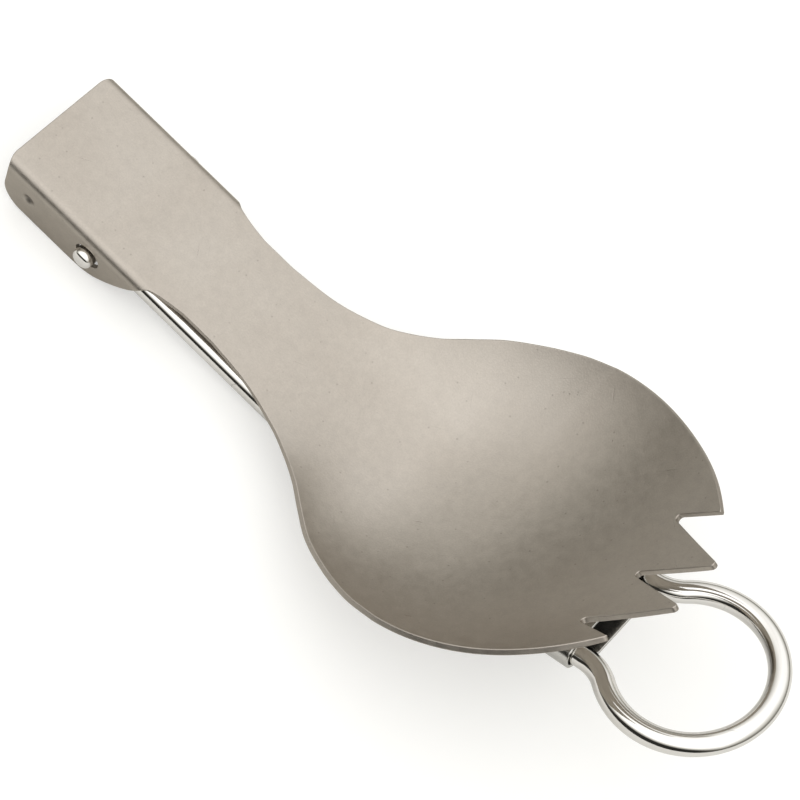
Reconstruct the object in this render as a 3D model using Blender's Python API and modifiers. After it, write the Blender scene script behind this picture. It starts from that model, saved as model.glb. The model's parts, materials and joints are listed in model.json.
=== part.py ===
"""A folding spork for camping: a stamped head, a wire handle that folds under it, and a sliding sleeve.

Metres, +Z up. +X runs from the shank's end to the tines. The spork is folded and lies as it rests on a
table, on the shank's flanges and the handle's bend. The head is drawn in its shank's own frame: x along
the shank from its end, y across, z up from the top of the sheet.
"""

import math

import bmesh
import bpy
from mathutils import Matrix, Vector

# Head: the sheet and the U-shaped shank
SHEET = 0.0007
SHANK_WIDTH = 0.0170
SHANK_FOLD_RADIUS = 0.0013
FLANGE_HEIGHT = 0.0075
FLANGE_CORNER_RADIUS = 0.0030
FLANGE_SETBACK = 0.0006
FLANGE_STRAIGHT_END = 0.0110
SQUARE_END_WIDTH = 0.0132

# Head: the neck and the bowl, seen from above
NECK_START = 0.0264
NECK_END = 0.0310
NECK_WIDTH = 0.0136
DISH_START = 0.0380
DISH_LENGTH = 0.0496
BOWL_WIDTH = 0.0414
BOWL_WIDEST_SHARE = 0.5504
TIP_SHARPNESS = 0.66

# The flange's lower edge runs up and in to the neck: share of the way along, share of the depth left.
RUNOUT_SHARES = (
    (0.0, 1.0), (0.13, 0.985), (0.25, 0.92), (0.36, 0.785), (0.48, 0.592), (0.57, 0.415),
    (0.65, 0.215), (0.705, 0.112), (0.765, 0.074), (0.84, 0.042), (1.0, 0.0),
)
# The flare from the neck to the widest place: share of the way along, share of the widening.
FLARE_SHARES = (
    (0.0, 0.0), (0.15, 0.04), (0.34, 0.17), (0.43, 0.278), (0.515, 0.41), (0.60, 0.585),
    (0.68, 0.742), (0.76, 0.847), (0.84, 0.927), (0.92, 0.98), (1.0, 1.0),
)

# Head: the dish. Share of the way from the dish's start to the tip, share of the tip's rise.
TIP_RISE = 0.0274
FLOOR_SHARES = (
    (0.0, 0.0), (0.12, -0.016), (0.24, -0.037), (0.36, -0.040), (0.43, -0.012), (0.52, 0.056),
    (0.63, 0.150), (0.73, 0.305), (0.82, 0.505), (0.88, 0.668), (1.0, 1.0),
)
RIM_SHARES = (
    (0.0, 0.0), (0.10, 0.014), (0.21, 0.068), (0.32, 0.143), (0.43, 0.245), (0.54, 0.366),
    (0.65, 0.488), (0.76, 0.62), (0.87, 0.782), (0.93, 0.868), (1.0, 1.0),
)
DISH_POWER = 2.3

# Tines: places along the tip's slope from the middle notch's base, and across from the middle
MIDDLE_NOTCH_SHARE = 0.8823
INNER_TINE_LENGTH = 0.0092
INNER_TINE_OFFSET = 0.00322
SIDE_NOTCH_BACK = 0.0005
SIDE_NOTCH_OFFSET = 0.0082
OUTER_TINE_LENGTH = 0.0054
OUTER_TINE_OFFSET = 0.0098
NOTCH_RADIUS = 0.00045
TINE_RADIUS = 0.00045

# The handle's wire, and its hinge in the flanges. The legs bend at a share of the dish's length.
WIRE_RADIUS = 0.0013
HINGE_ALONG = 0.01345
HINGE_DEPTH = 0.00375
HINGE_CLEARANCE = 0.0004
HINGE_SAG_SHARE = 0.4
PIN_STANDOUT = 0.0011
PIN_CHAMFER = 0.0003
PIN_TURN_RADIUS = 0.0016
LEG_SIDE_CLEARANCE = 0.0005
LEG_SPLAY = 0.0002
BEND_SHARE = 0.4083
BEND_RADIUS = 0.0060
OUTER_LEG_LENGTH = 0.0357
RING_RADIUS = 0.0095
RING_NECK_RADIUS = 0.0055

# The dimples that hold the open handle
DIMPLE_ALONG = 0.0043
DIMPLE_DEPTH = 0.00375
DIMPLE_RADIUS = 0.0008
DIMPLE_PRESS = 0.00025
DIMPLE_TAPER_SHARE = 0.55

# The sleeve on the legs, and how far it stays under the bowl as it slides
SLEEVE_SHEET = 0.0004
SLEEVE_CLEARANCE = 0.0002
SLEEVE_LENGTH = 0.0085
SLEEVE_LIP = 0.0012
SLEEVE_LIP_WIDTH = 0.0090
SLEEVE_TO_RING = 0.0105
SLEEVE_TO_BOWL = 0.0004

# How far the cutters run past the sheet, how deep the tines' cutter is, and when two points are one
OVERRUN = 0.002
TINE_CUTTER_DEPTH = 0.016
SAME_POINT = 0.000001

# How finely curved shapes are divided. The span rows run from the end's corner to the widest place.
CORNER_ROWS = 6
SPAN_ROWS = (3, 20, 2, 5, 20)
TIP_ROWS = 20
FLAT_COLUMNS = 13
FOLD_COLUMNS = 4
FLANGE_COLUMNS = 4
TINE_CORNER_STEPS = 5
HOLE_SIDES = 24
DIMPLE_SIDES = 12
WIRE_TURN_STEPS = 6
WIRE_ROUND_STEPS = 4
RING_STEPS = 20
SLEEVE_TURN_STEPS = 8
SHARP_ANGLE = math.radians(40)

# The searches for the legs' bend and for the slope at which the spork rests
STEEPEST_BEND = math.radians(60)
STEEPEST_TILT = math.radians(20)
SEARCH_SAMPLES = 200
SEARCH_HALVINGS = 40


def through(shares, place):
    """The smooth curve through a table of points, which never overshoots them (monotone cubic)."""
    count = len(shares)
    steps = [shares[i + 1][0] - shares[i][0] for i in range(count - 1)]
    slopes = [(shares[i + 1][1] - shares[i][1]) / steps[i] for i in range(count - 1)]
    tangents = [slopes[0]]
    for i in range(1, count - 1):
        if slopes[i - 1] * slopes[i] <= 0:
            tangents.append(0.0)
        else:
            tangents.append(2 * slopes[i - 1] * slopes[i] / (slopes[i - 1] + slopes[i]))
    tangents.append(slopes[-1])
    place = min(max(place, shares[0][0]), shares[-1][0])
    i = next(k for k in range(count - 1) if place <= shares[k + 1][0])
    t = (place - shares[i][0]) / steps[i]
    start = (1 + 2 * t) * (1 - t) ** 2 * shares[i][1] + t * (1 - t) ** 2 * steps[i] * tangents[i]
    end = t * t * (3 - 2 * t) * shares[i + 1][1] + t * t * (t - 1) * steps[i] * tangents[i + 1]
    return start + end


def ease(t):
    """0 to 1, level at both ends."""
    t = min(max(t, 0.0), 1.0)
    return t * t * (3 - 2 * t)


# Sizes of the head that follow from the ones above
flat_half = SHANK_WIDTH / 2 - SHANK_FOLD_RADIUS
fold_arc = SHANK_FOLD_RADIUS * math.pi / 2
flange_reach = flat_half + fold_arc + FLANGE_HEIGHT - SHANK_FOLD_RADIUS
head_length = DISH_START + DISH_LENGTH
bowl_widest = DISH_START + DISH_LENGTH * BOWL_WIDEST_SHARE
hinge_hole_radius = WIRE_RADIUS + HINGE_CLEARANCE
hinge_sag = HINGE_CLEARANCE * HINGE_SAG_SHARE


def half_width(along):
    """Half the width of the flat sheet at a place along the head, measured over the folds and flanges."""
    corner_end = FLANGE_SETBACK + FLANGE_CORNER_RADIUS
    if along < corner_end:
        across = min(corner_end - along, FLANGE_CORNER_RADIUS)
        drop = FLANGE_CORNER_RADIUS - math.sqrt(FLANGE_CORNER_RADIUS ** 2 - across ** 2)
        return flange_reach - drop
    if along < FLANGE_STRAIGHT_END:
        return flange_reach
    neck = NECK_WIDTH / 2
    if along < NECK_START:
        share = (along - FLANGE_STRAIGHT_END) / (NECK_START - FLANGE_STRAIGHT_END)
        return neck + (flange_reach - neck) * through(RUNOUT_SHARES, share)
    if along < NECK_END:
        return neck
    widest = BOWL_WIDTH / 2
    if along < bowl_widest:
        share = (along - NECK_END) / (bowl_widest - NECK_END)
        return neck + (widest - neck) * through(FLARE_SHARES, share)
    share = (along - bowl_widest) / (head_length - bowl_widest)
    return widest * max(1 - share * share, 0.0) ** TIP_SHARPNESS


def rise(along, across_share):
    """Height of the dished sheet; across_share is 0 on the middle line and 1 on the rim."""
    share = (along - DISH_START) / (head_length - DISH_START)
    floor = through(FLOOR_SHARES, share)
    rim = through(RIM_SHARES, share)
    return TIP_RISE * (floor + (rim - floor) * across_share ** DISH_POWER)


def formed(along, reach):
    """Where a point of the flat sheet lies once it is folded or dished, on the sheet's top face."""
    if along >= NECK_START:
        return Vector((along, reach, rise(along, reach / max(half_width(along), SAME_POINT))))
    if reach <= flat_half:
        return Vector((along, reach, 0.0))
    turn = min((reach - flat_half) / SHANK_FOLD_RADIUS, math.pi / 2)
    across = flat_half + SHANK_FOLD_RADIUS * math.sin(turn)
    height = -SHANK_FOLD_RADIUS * (1 - math.cos(turn)) - max(reach - flat_half - fold_arc, 0.0)
    return Vector((along, across, height))


def head_stations():
    """Places of the grid's rows along the head, closer together where the outline or the dish turns."""
    stretch = (FLANGE_SETBACK + FLANGE_CORNER_RADIUS) / FLANGE_CORNER_RADIUS
    places = []
    for step in range(CORNER_ROWS + 1):
        turn = math.pi / 2 * step / CORNER_ROWS
        places.append(FLANGE_CORNER_RADIUS * (1 - math.cos(turn)) * stretch)
    spans = (
        (places[-1], FLANGE_STRAIGHT_END),
        (FLANGE_STRAIGHT_END, NECK_START),
        (NECK_START, NECK_END),
        (NECK_END, DISH_START),
        (DISH_START, bowl_widest),
    )
    for (start, end), rows in zip(spans, SPAN_ROWS):
        for step in range(1, rows + 1):
            places.append(start + (end - start) * step / rows)
    for step in range(1, TIP_ROWS + 1):
        turn = math.pi / 2 * step / TIP_ROWS
        places.append(bowl_widest + (head_length - bowl_widest) * math.sin(turn))
    return places


def head_columns(along):
    """Reach of each column of the grid at a row: over the flat, round the fold and down the flange."""
    edge = half_width(along)
    flat_edge = min(edge, flat_half) if along < NECK_START else edge
    fold_edge = max(min(edge, flat_half + fold_arc), flat_edge)
    columns = [flat_edge * i / FLAT_COLUMNS for i in range(FLAT_COLUMNS + 1)]
    columns += [flat_edge + (fold_edge - flat_edge) * i / FOLD_COLUMNS for i in range(1, FOLD_COLUMNS + 1)]
    columns += [fold_edge + (edge - fold_edge) * i / FLANGE_COLUMNS for i in range(1, FLANGE_COLUMNS + 1)]
    return columns


def end_setback(station, reach):
    """How far the shank's end edge lies back at this reach; it fades out by the end of the lower corner."""
    square_half = SQUARE_END_WIDTH / 2
    share = ease((reach - square_half) / (flat_half + fold_arc - square_half))
    fade = 1 - station / (FLANGE_SETBACK + FLANGE_CORNER_RADIUS)
    return FLANGE_SETBACK * share * max(fade, 0.0)


def new_object(name, mesh, collection, material=None):
    made = bpy.data.objects.new(name, mesh)
    collection.objects.link(made)
    if material:
        made.data.materials.append(material)
    return made


def mesh_of(name, bm):
    mesh = bpy.data.meshes.new(name)
    bm.to_mesh(mesh)
    bm.free()
    return mesh


def new_collection(name):
    made = bpy.data.collections.new(name)
    bpy.context.scene.collection.children.link(made)
    return made


def metal(name, colour, roughness):
    made = bpy.data.materials.new(name)
    made.use_nodes = True
    shader = made.node_tree.nodes["Principled BSDF"]
    shader.inputs["Base Color"].default_value = (*colour, 1.0)
    shader.inputs["Metallic"].default_value = 1.0
    shader.inputs["Roughness"].default_value = roughness
    return made


def titanium():
    return metal("blasted_titanium", (0.52, 0.48, 0.43), 0.45)


def polished_wire():
    return metal("polished_stainless", (0.80, 0.79, 0.76), 0.08)


def sleeve_steel():
    return metal("stainless_sheet", (0.62, 0.61, 0.58), 0.20)


def cutter(name, bm, collection):
    """A closed helper solid that takes part in a Boolean and isn't a piece of the object."""
    bmesh.ops.recalc_face_normals(bm, faces=bm.faces)
    made = new_object(name, mesh_of(name, bm), collection)
    made.hide_render = True
    made.display_type = "WIRE"
    return made


def join_with(target, helper, operation):
    modifier = target.modifiers.new(helper.name, "BOOLEAN")
    modifier.object = helper
    modifier.operation = operation
    modifier.solver = "EXACT"


def rounded_outline(corners):
    """An outline with its corners turned into arcs. A corner is x, y and radius, and its arc passes x, y."""
    count = len(corners)
    sharp = []
    for i in range(count):
        corner = Vector(corners[i][:2])
        into = (Vector(corners[i - 1][:2]) - corner).normalized()
        out = (Vector(corners[(i + 1) % count][:2]) - corner).normalized()
        reach = corners[i][2] / math.sin(into.angle(out) / 2) - corners[i][2]
        sharp.append(corner - (into + out).normalized() * reach)
    outline = []
    for i in range(count):
        corner = sharp[i]
        radius = corners[i][2]
        if radius == 0:
            outline.append(corner)
            continue
        into = (sharp[i - 1] - corner).normalized()
        out = (sharp[(i + 1) % count] - corner).normalized()
        half_angle = into.angle(out) / 2
        centre = corner + (into + out).normalized() * radius / math.sin(half_angle)
        start = corner + into * radius / math.tan(half_angle) - centre
        end = corner + out * radius / math.tan(half_angle) - centre
        sweep = start.angle_signed(end)
        for step in range(TINE_CORNER_STEPS + 1):
            turned = start.copy()
            turned.rotate(Matrix.Rotation(-sweep * step / TINE_CORNER_STEPS, 2))
            outline.append(centre + turned)
    return outline


def head_sheet():
    """The right half of the formed sheet's top face, as a grid that follows the outline."""
    bm = bmesh.new()
    rows = []
    for station in head_stations():
        setback_place = station + end_setback(station, flange_reach)
        row = []
        for reach in head_columns(setback_place if station < FLANGE_STRAIGHT_END else station):
            along = station + end_setback(station, reach)
            row.append(bm.verts.new(formed(along, reach)))
        rows.append(row)
    for row, following in zip(rows, rows[1:]):
        for i in range(len(row) - 1):
            bm.faces.new((row[i], following[i], following[i + 1], row[i + 1]))
    bmesh.ops.remove_doubles(bm, verts=bm.verts, dist=SAME_POINT)
    bmesh.ops.recalc_face_normals(bm, faces=bm.faces)
    neck_face = min(bm.faces, key=lambda face: abs(face.calc_center_median().x - NECK_END))
    if neck_face.normal.z < 0:
        bmesh.ops.reverse_faces(bm, faces=bm.faces)
    return mesh_of("head", bm)


def notch_cutter(collection):
    """Everything beyond the four tines' outline, as a prism square to the sheet at the tip."""
    side = (
        (INNER_TINE_LENGTH + 2 * OVERRUN, BOWL_WIDTH / 2, 0.0),
        (OUTER_TINE_LENGTH, OUTER_TINE_OFFSET + OVERRUN, 0.0),
        (OUTER_TINE_LENGTH, OUTER_TINE_OFFSET, TINE_RADIUS),
        (-SIDE_NOTCH_BACK, SIDE_NOTCH_OFFSET, NOTCH_RADIUS),
        (INNER_TINE_LENGTH, INNER_TINE_OFFSET, TINE_RADIUS),
    )
    corners = list(side) + [(0.0, 0.0, NOTCH_RADIUS)] + [(x, -y, r) for x, y, r in reversed(side)]
    notch = DISH_START + DISH_LENGTH * MIDDLE_NOTCH_SHARE
    base = Vector((notch, 0, rise(notch, 0)))
    along = (Vector((head_length, 0, TIP_RISE)) - base).normalized()
    square = Vector((-along.z, 0, along.x))
    bm = bmesh.new()
    under = base - square * TINE_CUTTER_DEPTH / 2
    outline = [bm.verts.new(under + along * x + Vector((0, y, 0))) for x, y in rounded_outline(corners)]
    bottom = bm.faces.new(outline)
    lifted = bmesh.ops.extrude_face_region(bm, geom=[bottom])
    top = [item for item in lifted["geom"] if isinstance(item, bmesh.types.BMVert)]
    bmesh.ops.translate(bm, verts=top, vec=square * TINE_CUTTER_DEPTH)
    bmesh.ops.triangulate(bm, faces=bm.faces)
    return cutter("tine_cutter", bm, collection)


def hinge_cutter(collection):
    """One long round bar through both flanges. The wire hangs low in its holes."""
    turn = Matrix.Rotation(math.pi / 2, 4, "X")
    place = Matrix.Translation((HINGE_ALONG + hinge_sag, 0, -HINGE_DEPTH + hinge_sag))
    bm = bmesh.new()
    bmesh.ops.create_cone(
        bm, cap_ends=True, segments=HOLE_SIDES, radius1=hinge_hole_radius, radius2=hinge_hole_radius,
        depth=SHANK_WIDTH + OVERRUN, matrix=place @ turn)
    return cutter("hinge_cutter", bm, collection)


def dimple_cones(name, from_middle, wide, narrow, deep, collection):
    """A short cone on each flange, narrow towards the middle of the spork."""
    bm = bmesh.new()
    for side in (-1, 1):
        turn = Matrix.Rotation(side * math.pi / 2, 4, "X")
        place = Matrix.Translation((DIMPLE_ALONG, side * from_middle, -DIMPLE_DEPTH))
        bmesh.ops.create_cone(
            bm, cap_ends=True, segments=DIMPLE_SIDES, radius1=narrow, radius2=wide,
            depth=deep, matrix=place @ turn.inverted())
    return cutter(name, bm, collection)


def build_head(parts, cutters):
    head = new_object("head", head_sheet(), parts, titanium())
    mirror = head.modifiers.new("both_sides", "MIRROR")
    mirror.use_axis = (False, True, False)
    mirror.merge_threshold = SAME_POINT
    thicken = head.modifiers.new("sheet", "SOLIDIFY")
    thicken.thickness = SHEET
    thicken.offset = -1.0
    thicken.use_even_offset = True
    outer = SHANK_WIDTH / 2
    inner = outer - SHEET
    narrow = DIMPLE_RADIUS * DIMPLE_TAPER_SHARE
    bump_deep = SHEET / 2 + DIMPLE_PRESS
    bump = dimple_cones("dimple_bumps", inner - DIMPLE_PRESS + bump_deep / 2, DIMPLE_RADIUS, narrow,
                        bump_deep, cutters)
    join_with(head, bump, "UNION")
    pit_deep = SHEET / 2 + OVERRUN
    pit_wide = narrow + (DIMPLE_RADIUS - narrow) * pit_deep / (SHEET / 2)
    pit = dimple_cones("dimple_pits", outer - SHEET / 2 + pit_deep / 2, pit_wide, narrow,
                       pit_deep, cutters)
    join_with(head, pit, "DIFFERENCE")
    join_with(head, hinge_cutter(cutters), "DIFFERENCE")
    join_with(head, notch_cutter(cutters), "DIFFERENCE")
    head.data.shade_smooth()
    head.data.set_sharp_from_angle(angle=SHARP_ANGLE)
    return head


# Sizes of the handle that follow from the ones above
leg_offset = SHANK_WIDTH / 2 - SHEET - LEG_SIDE_CLEARANCE - WIRE_RADIUS
leg_end_offset = leg_offset + LEG_SPLAY
leg_length = DISH_START + DISH_LENGTH * BEND_SHARE - HINGE_ALONG
sleeve_hollow = WIRE_RADIUS + SLEEVE_CLEARANCE


def room_over_sleeve(angle):
    """The least gap between the bowl's underside and a sleeve on legs bent up by this angle."""
    reach = OUTER_LEG_LENGTH - SLEEVE_TO_RING
    top = sleeve_hollow + SLEEVE_SHEET
    least = SHANK_WIDTH
    for step in range(SEARCH_SAMPLES + 1):
        out = reach * step / SEARCH_SAMPLES
        turn_x = HINGE_ALONG + leg_length + (BEND_RADIUS - top) * math.sin(angle)
        x = min(turn_x + out * math.cos(angle), head_length)
        z = BEND_RADIUS - HINGE_DEPTH - (BEND_RADIUS - top) * math.cos(angle) + out * math.sin(angle)
        slope = math.atan2(rise(x, 0) - rise(x - SHEET, 0), SHEET)
        least = min(least, (rise(x, 0) - z) * math.cos(slope) - SHEET)
    return least


def steepest_bend():
    """The legs' bend that leaves the sleeve its clearance under the bowl."""
    low, high = 0.0, STEEPEST_BEND
    for _ in range(SEARCH_HALVINGS):
        angle = (low + high) / 2
        if room_over_sleeve(angle) > SLEEVE_TO_BOWL:
            low = angle
        else:
            high = angle
    return low


bend_angle = steepest_bend()
bend_arc = BEND_RADIUS * bend_angle
ring_place = leg_length + bend_arc + OUTER_LEG_LENGTH
ring_neck_offset = leg_end_offset + RING_NECK_RADIUS
ring_neck_back = math.sqrt((RING_RADIUS + RING_NECK_RADIUS) ** 2 - ring_neck_offset ** 2)


def bent(place):
    """From a distance along the wire's legs to x and z, with the hinge at 0, 0."""
    turn = min(max((place - leg_length) / BEND_RADIUS, 0.0), bend_angle)
    beyond = max(place - leg_length - bend_arc, 0.0)
    x = min(place, leg_length) + BEND_RADIUS * math.sin(turn) + beyond * math.cos(bend_angle)
    z = BEND_RADIUS * (1 - math.cos(turn)) + beyond * math.sin(bend_angle)
    return x, z


def arc(centre_x, centre_y, radius, start, end, steps):
    for step in range(steps + 1):
        angle = start + (end - start) * step / steps
        yield centre_x + radius * math.cos(angle), centre_y + radius * math.sin(angle)


def handle_side():
    """One side of the wire before its legs are bent: distance along the legs, and across."""
    pin_end = SHANK_WIDTH / 2 + PIN_STANDOUT
    yield 0.0, pin_end
    yield 0.0, pin_end - PIN_CHAMFER
    turn_centre = leg_offset + PIN_TURN_RADIUS
    yield from arc(PIN_TURN_RADIUS, turn_centre, PIN_TURN_RADIUS, math.pi, 1.5 * math.pi, WIRE_TURN_STEPS)
    neck_place = ring_place - ring_neck_back
    bend_places = [leg_length + bend_arc * step / WIRE_TURN_STEPS for step in range(WIRE_TURN_STEPS + 1)]
    for place in bend_places + [(bend_places[-1] + neck_place) / 2]:
        yield place, leg_offset + LEG_SPLAY * place / neck_place
    meet = math.atan2(-ring_neck_offset, ring_neck_back)
    yield from arc(neck_place, ring_neck_offset, RING_NECK_RADIUS, -math.pi / 2, meet, WIRE_TURN_STEPS)
    yield from list(arc(ring_place, 0.0, RING_RADIUS, math.pi + meet, 0.0, RING_STEPS))[1:]


def build_handle(parts):
    side = list(handle_side())
    plan = side + [(x, -y) for x, y in reversed(side[:-1])]
    data = bpy.data.curves.new("wire_handle", "CURVE")
    data.dimensions = "3D"
    data.bevel_depth = WIRE_RADIUS
    data.bevel_resolution = WIRE_ROUND_STEPS
    data.use_fill_caps = True
    line = data.splines.new("POLY")
    line.points.add(len(plan) - 1)
    for point, (place, across) in zip(line.points, plan):
        x, z = bent(place)
        point.co = (x, across, z, 1.0)
    for end in (line.points[0], line.points[-1]):
        end.radius = 1 - PIN_CHAMFER / WIRE_RADIUS
    line.use_smooth = True
    handle = new_object("wire_handle", data, parts, polished_wire())
    handle.location = (HINGE_ALONG, 0, -HINGE_DEPTH)
    return handle


def build_slider(parts, handle):
    """A flattened tube round both legs, in its own frame: x along the outer legs, z square to them."""
    half = SLEEVE_LENGTH / 2
    section = []
    for side, start in ((1, -math.pi / 2), (-1, math.pi / 2)):
        end = start + math.pi
        section += arc(side * leg_end_offset, 0.0, sleeve_hollow, start, end, SLEEVE_TURN_STEPS)
    section += [(-SLEEVE_LIP_WIDTH / 2, -sleeve_hollow), (SLEEVE_LIP_WIDTH / 2, -sleeve_hollow)]
    bm = bmesh.new()
    rear = [bm.verts.new((-half, y, z)) for y, z in section]
    front = [bm.verts.new((half, y, z)) for y, z in section]
    for i in range(len(section)):
        bm.faces.new((rear[i], front[i], front[(i + 1) % len(section)], rear[(i + 1) % len(section)]))
    lip_end = [bm.verts.new(vert.co + Vector((SLEEVE_LIP, 0, 0))) for vert in front[-2:]]
    bm.faces.new((front[-2], lip_end[0], lip_end[1], front[-1]))
    bmesh.ops.recalc_face_normals(bm, faces=bm.faces)
    slider = new_object("slider", mesh_of("slider", bm), parts, sleeve_steel())
    thicken = slider.modifiers.new("sheet", "SOLIDIFY")
    thicken.thickness = SLEEVE_SHEET
    thicken.offset = 1.0
    slider.data.shade_smooth()
    slider.data.set_sharp_from_angle(angle=SHARP_ANGLE)
    place = ring_place - SLEEVE_TO_RING - half
    x, z = bent(place)
    slider.parent = handle
    slider.location = (x, 0, z)
    slider.rotation_euler = (0, -bend_angle, 0)
    return slider


def lowest_under(points, tilt):
    return min(-x * math.sin(tilt) + z * math.cos(tilt) for x, z in points)


def rest_tilt():
    """The shank's slope, down towards the bowl, at which flanges and wire both touch the table."""
    flange = []
    for step in range(SEARCH_SAMPLES):
        along = FLANGE_STRAIGHT_END + (NECK_START - FLANGE_STRAIGHT_END) * step / SEARCH_SAMPLES
        flange.append((along, formed(along, half_width(along)).z))
    wire = []
    for step in range(SEARCH_SAMPLES):
        x, z = bent(leg_length + bend_arc * step / SEARCH_SAMPLES)
        wire.append((HINGE_ALONG + x, -HINGE_DEPTH + z))
    low, high = 0.0, STEEPEST_TILT
    for _ in range(SEARCH_HALVINGS):
        tilt = (low + high) / 2
        if lowest_under(flange, tilt) < lowest_under(wire, tilt) - WIRE_RADIUS:
            low = tilt
        else:
            high = tilt
    return tilt


def world_box(objects):
    """Corners of the box round the objects as they are shown, in world space."""
    bpy.context.view_layer.update()
    graph = bpy.context.evaluated_depsgraph_get()
    points = []
    for item in objects:
        shown = item.evaluated_get(graph)
        mesh = shown.to_mesh()
        points += [shown.matrix_world @ vert.co for vert in mesh.vertices]
        shown.to_mesh_clear()
    lowest = Vector([min(point[axis] for point in points) for axis in range(3)])
    highest = Vector([max(point[axis] for point in points) for axis in range(3)])
    return lowest, highest


def main():
    for item in list(bpy.data.objects):
        bpy.data.objects.remove(item, do_unlink=True)
    parts = new_collection("folding_spoon")
    cutters = new_collection("cutters")
    laid = bpy.data.objects.new("laid_on_table", None)
    parts.objects.link(laid)
    laid.rotation_euler = (0, rest_tilt(), 0)
    head = build_head(parts, cutters)
    head.parent = laid
    for helper in cutters.objects:
        helper.parent = laid
    handle = build_handle(parts)
    handle.parent = laid
    slider = build_slider(parts, handle)
    low, high = world_box((head, handle, slider))
    laid.location = (-(low.x + high.x) / 2, 0, -low.z)
    bpy.context.view_layer.update()
    print("legs' bend, degrees:", round(math.degrees(bend_angle), 3))
    print("rest tilt, degrees:", round(math.degrees(laid.rotation_euler.y), 3))
    print("size, mm:", [round(1000 * size, 2) for size in high - low])
    print("hinge at, mm:", [round(1000 * value, 3) for value in handle.matrix_world.translation])
    print("slider at, mm:", [round(1000 * value, 3) for value in slider.matrix_world.translation])
    slide = slider.matrix_world.to_3x3() @ Vector((1, 0, 0))
    print("slide along:", [round(value, 5) for value in slide])


main()
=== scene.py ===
# %% [markdown]
# # A folding spork in blasted titanium and polished wire
# The part comes in as a fixed frame: three solids that already have the right size, place and joints.
# This lesson dresses them. It loads the frame and sets the camera where the photograph
# was taken from. Then come the three pieces, formed more finely than the solids, their finishes, the floor
# and the light.

# %% Load the imported part
import json
import math

import bmesh
import bpy
import numpy as np
from mathutils import Matrix, Vector
from mathutils.geometry import delaunay_2d_cdt


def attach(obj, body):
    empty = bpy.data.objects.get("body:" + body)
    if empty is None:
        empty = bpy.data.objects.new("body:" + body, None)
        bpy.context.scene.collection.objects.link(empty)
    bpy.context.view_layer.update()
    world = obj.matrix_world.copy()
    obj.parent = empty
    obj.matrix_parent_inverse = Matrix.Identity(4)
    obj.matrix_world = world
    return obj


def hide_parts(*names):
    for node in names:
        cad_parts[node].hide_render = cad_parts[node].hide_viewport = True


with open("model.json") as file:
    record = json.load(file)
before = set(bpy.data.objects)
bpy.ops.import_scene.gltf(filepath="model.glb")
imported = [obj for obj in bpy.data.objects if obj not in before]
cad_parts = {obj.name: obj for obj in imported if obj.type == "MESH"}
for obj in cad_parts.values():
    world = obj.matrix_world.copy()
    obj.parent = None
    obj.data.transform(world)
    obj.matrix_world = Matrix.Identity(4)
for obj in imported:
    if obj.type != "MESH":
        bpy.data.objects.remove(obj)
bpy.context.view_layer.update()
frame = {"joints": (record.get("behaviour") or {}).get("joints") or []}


# %% [markdown]
# The photograph looks down on the spork from its side, with the camera turned by a third of a right
# angle, so that the spork runs across the picture. A long lens keeps the shank and the ring nearly the
# same scale. The camera could be placed by eye and nudged, but four values say it better: where it looks,
# from which side, from how high, and how far it is turned about its own axis.

# %% Camera
LOOKS_AT = Vector((-0.00269408, 0.00782726, -0.00210256))
VIEW_SIDE = math.radians(14.7645)
VIEW_HEIGHT = math.radians(63.6694)
VIEW_TURN = math.radians(29.5745)
VIEW_DISTANCE = 0.2926425
LENS, FILM_WIDTH = 113.357, 36.0


def add_camera():
    data = bpy.data.cameras.new("camera")
    data.lens = LENS
    data.sensor_width = FILM_WIDTH
    data.sensor_fit = "HORIZONTAL"
    data.clip_start = 0.01
    data.clip_end = 10
    camera = bpy.data.objects.new("camera", data)
    bpy.context.scene.collection.objects.link(camera)
    back = Vector((
        math.sin(VIEW_SIDE) * math.cos(VIEW_HEIGHT),
        -math.cos(VIEW_SIDE) * math.cos(VIEW_HEIGHT),
        math.sin(VIEW_HEIGHT),
    ))
    level = back.to_track_quat("Z", "Y").to_matrix()
    camera.matrix_world = Matrix.Translation(LOOKS_AT + back * VIEW_DISTANCE) @ (
        level @ Matrix.Rotation(VIEW_TURN, 3, "Z")).to_4x4()
    bpy.context.scene.camera = camera
    return camera


camera = add_camera()
print("camera at, m:", [round(value, 4) for value in camera.matrix_world.translation])

# %% [markdown]
# The head is one sheet, so every point of it can be named on the flat blank: how far along, and how far
# out from the middle line. Forming then says where that point goes once the flanges are folded down and
# the bowl is pressed. Subdividing a coarse cage would round the tines off; a fine mesh laid on the exact
# form keeps their edges and gives the long clean shading of pressed metal.

# %% Sizes of the head
SHEET = 0.0007
SHANK_WIDTH = 0.0170
FOLD_RADIUS = 0.0013
FLANGE_HEIGHT = 0.0075
CORNER_RADIUS = 0.0030
END_SETBACK = 0.0006
FLANGE_STRAIGHT_END = 0.0110
SQUARE_END_WIDTH = 0.0132
NECK_START, NECK_END, NECK_WIDTH = 0.0264, 0.0310, 0.0136
DISH_START, DISH_LENGTH, TIP_RISE = 0.0380, 0.0496, 0.0274
BOWL_WIDTH, WIDEST_SHARE = 0.0414, 0.5504
TIP_SHARPNESS, DISH_POWER, MIDDLE_NOTCH_SHARE = 0.66, 2.3, 0.8823
HINGE_ALONG, HINGE_DEPTH, HOLE_RADIUS, HOLE_SAG = 0.01345, 0.00375, 0.0017, 0.00016
DIMPLE_ALONG, DIMPLE_DEPTH, DIMPLE_RADIUS, DIMPLE_PRESS = 0.0043, 0.00375, 0.0010, 0.00045
DIMPLE_STEEPNESS = 1.15

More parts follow.
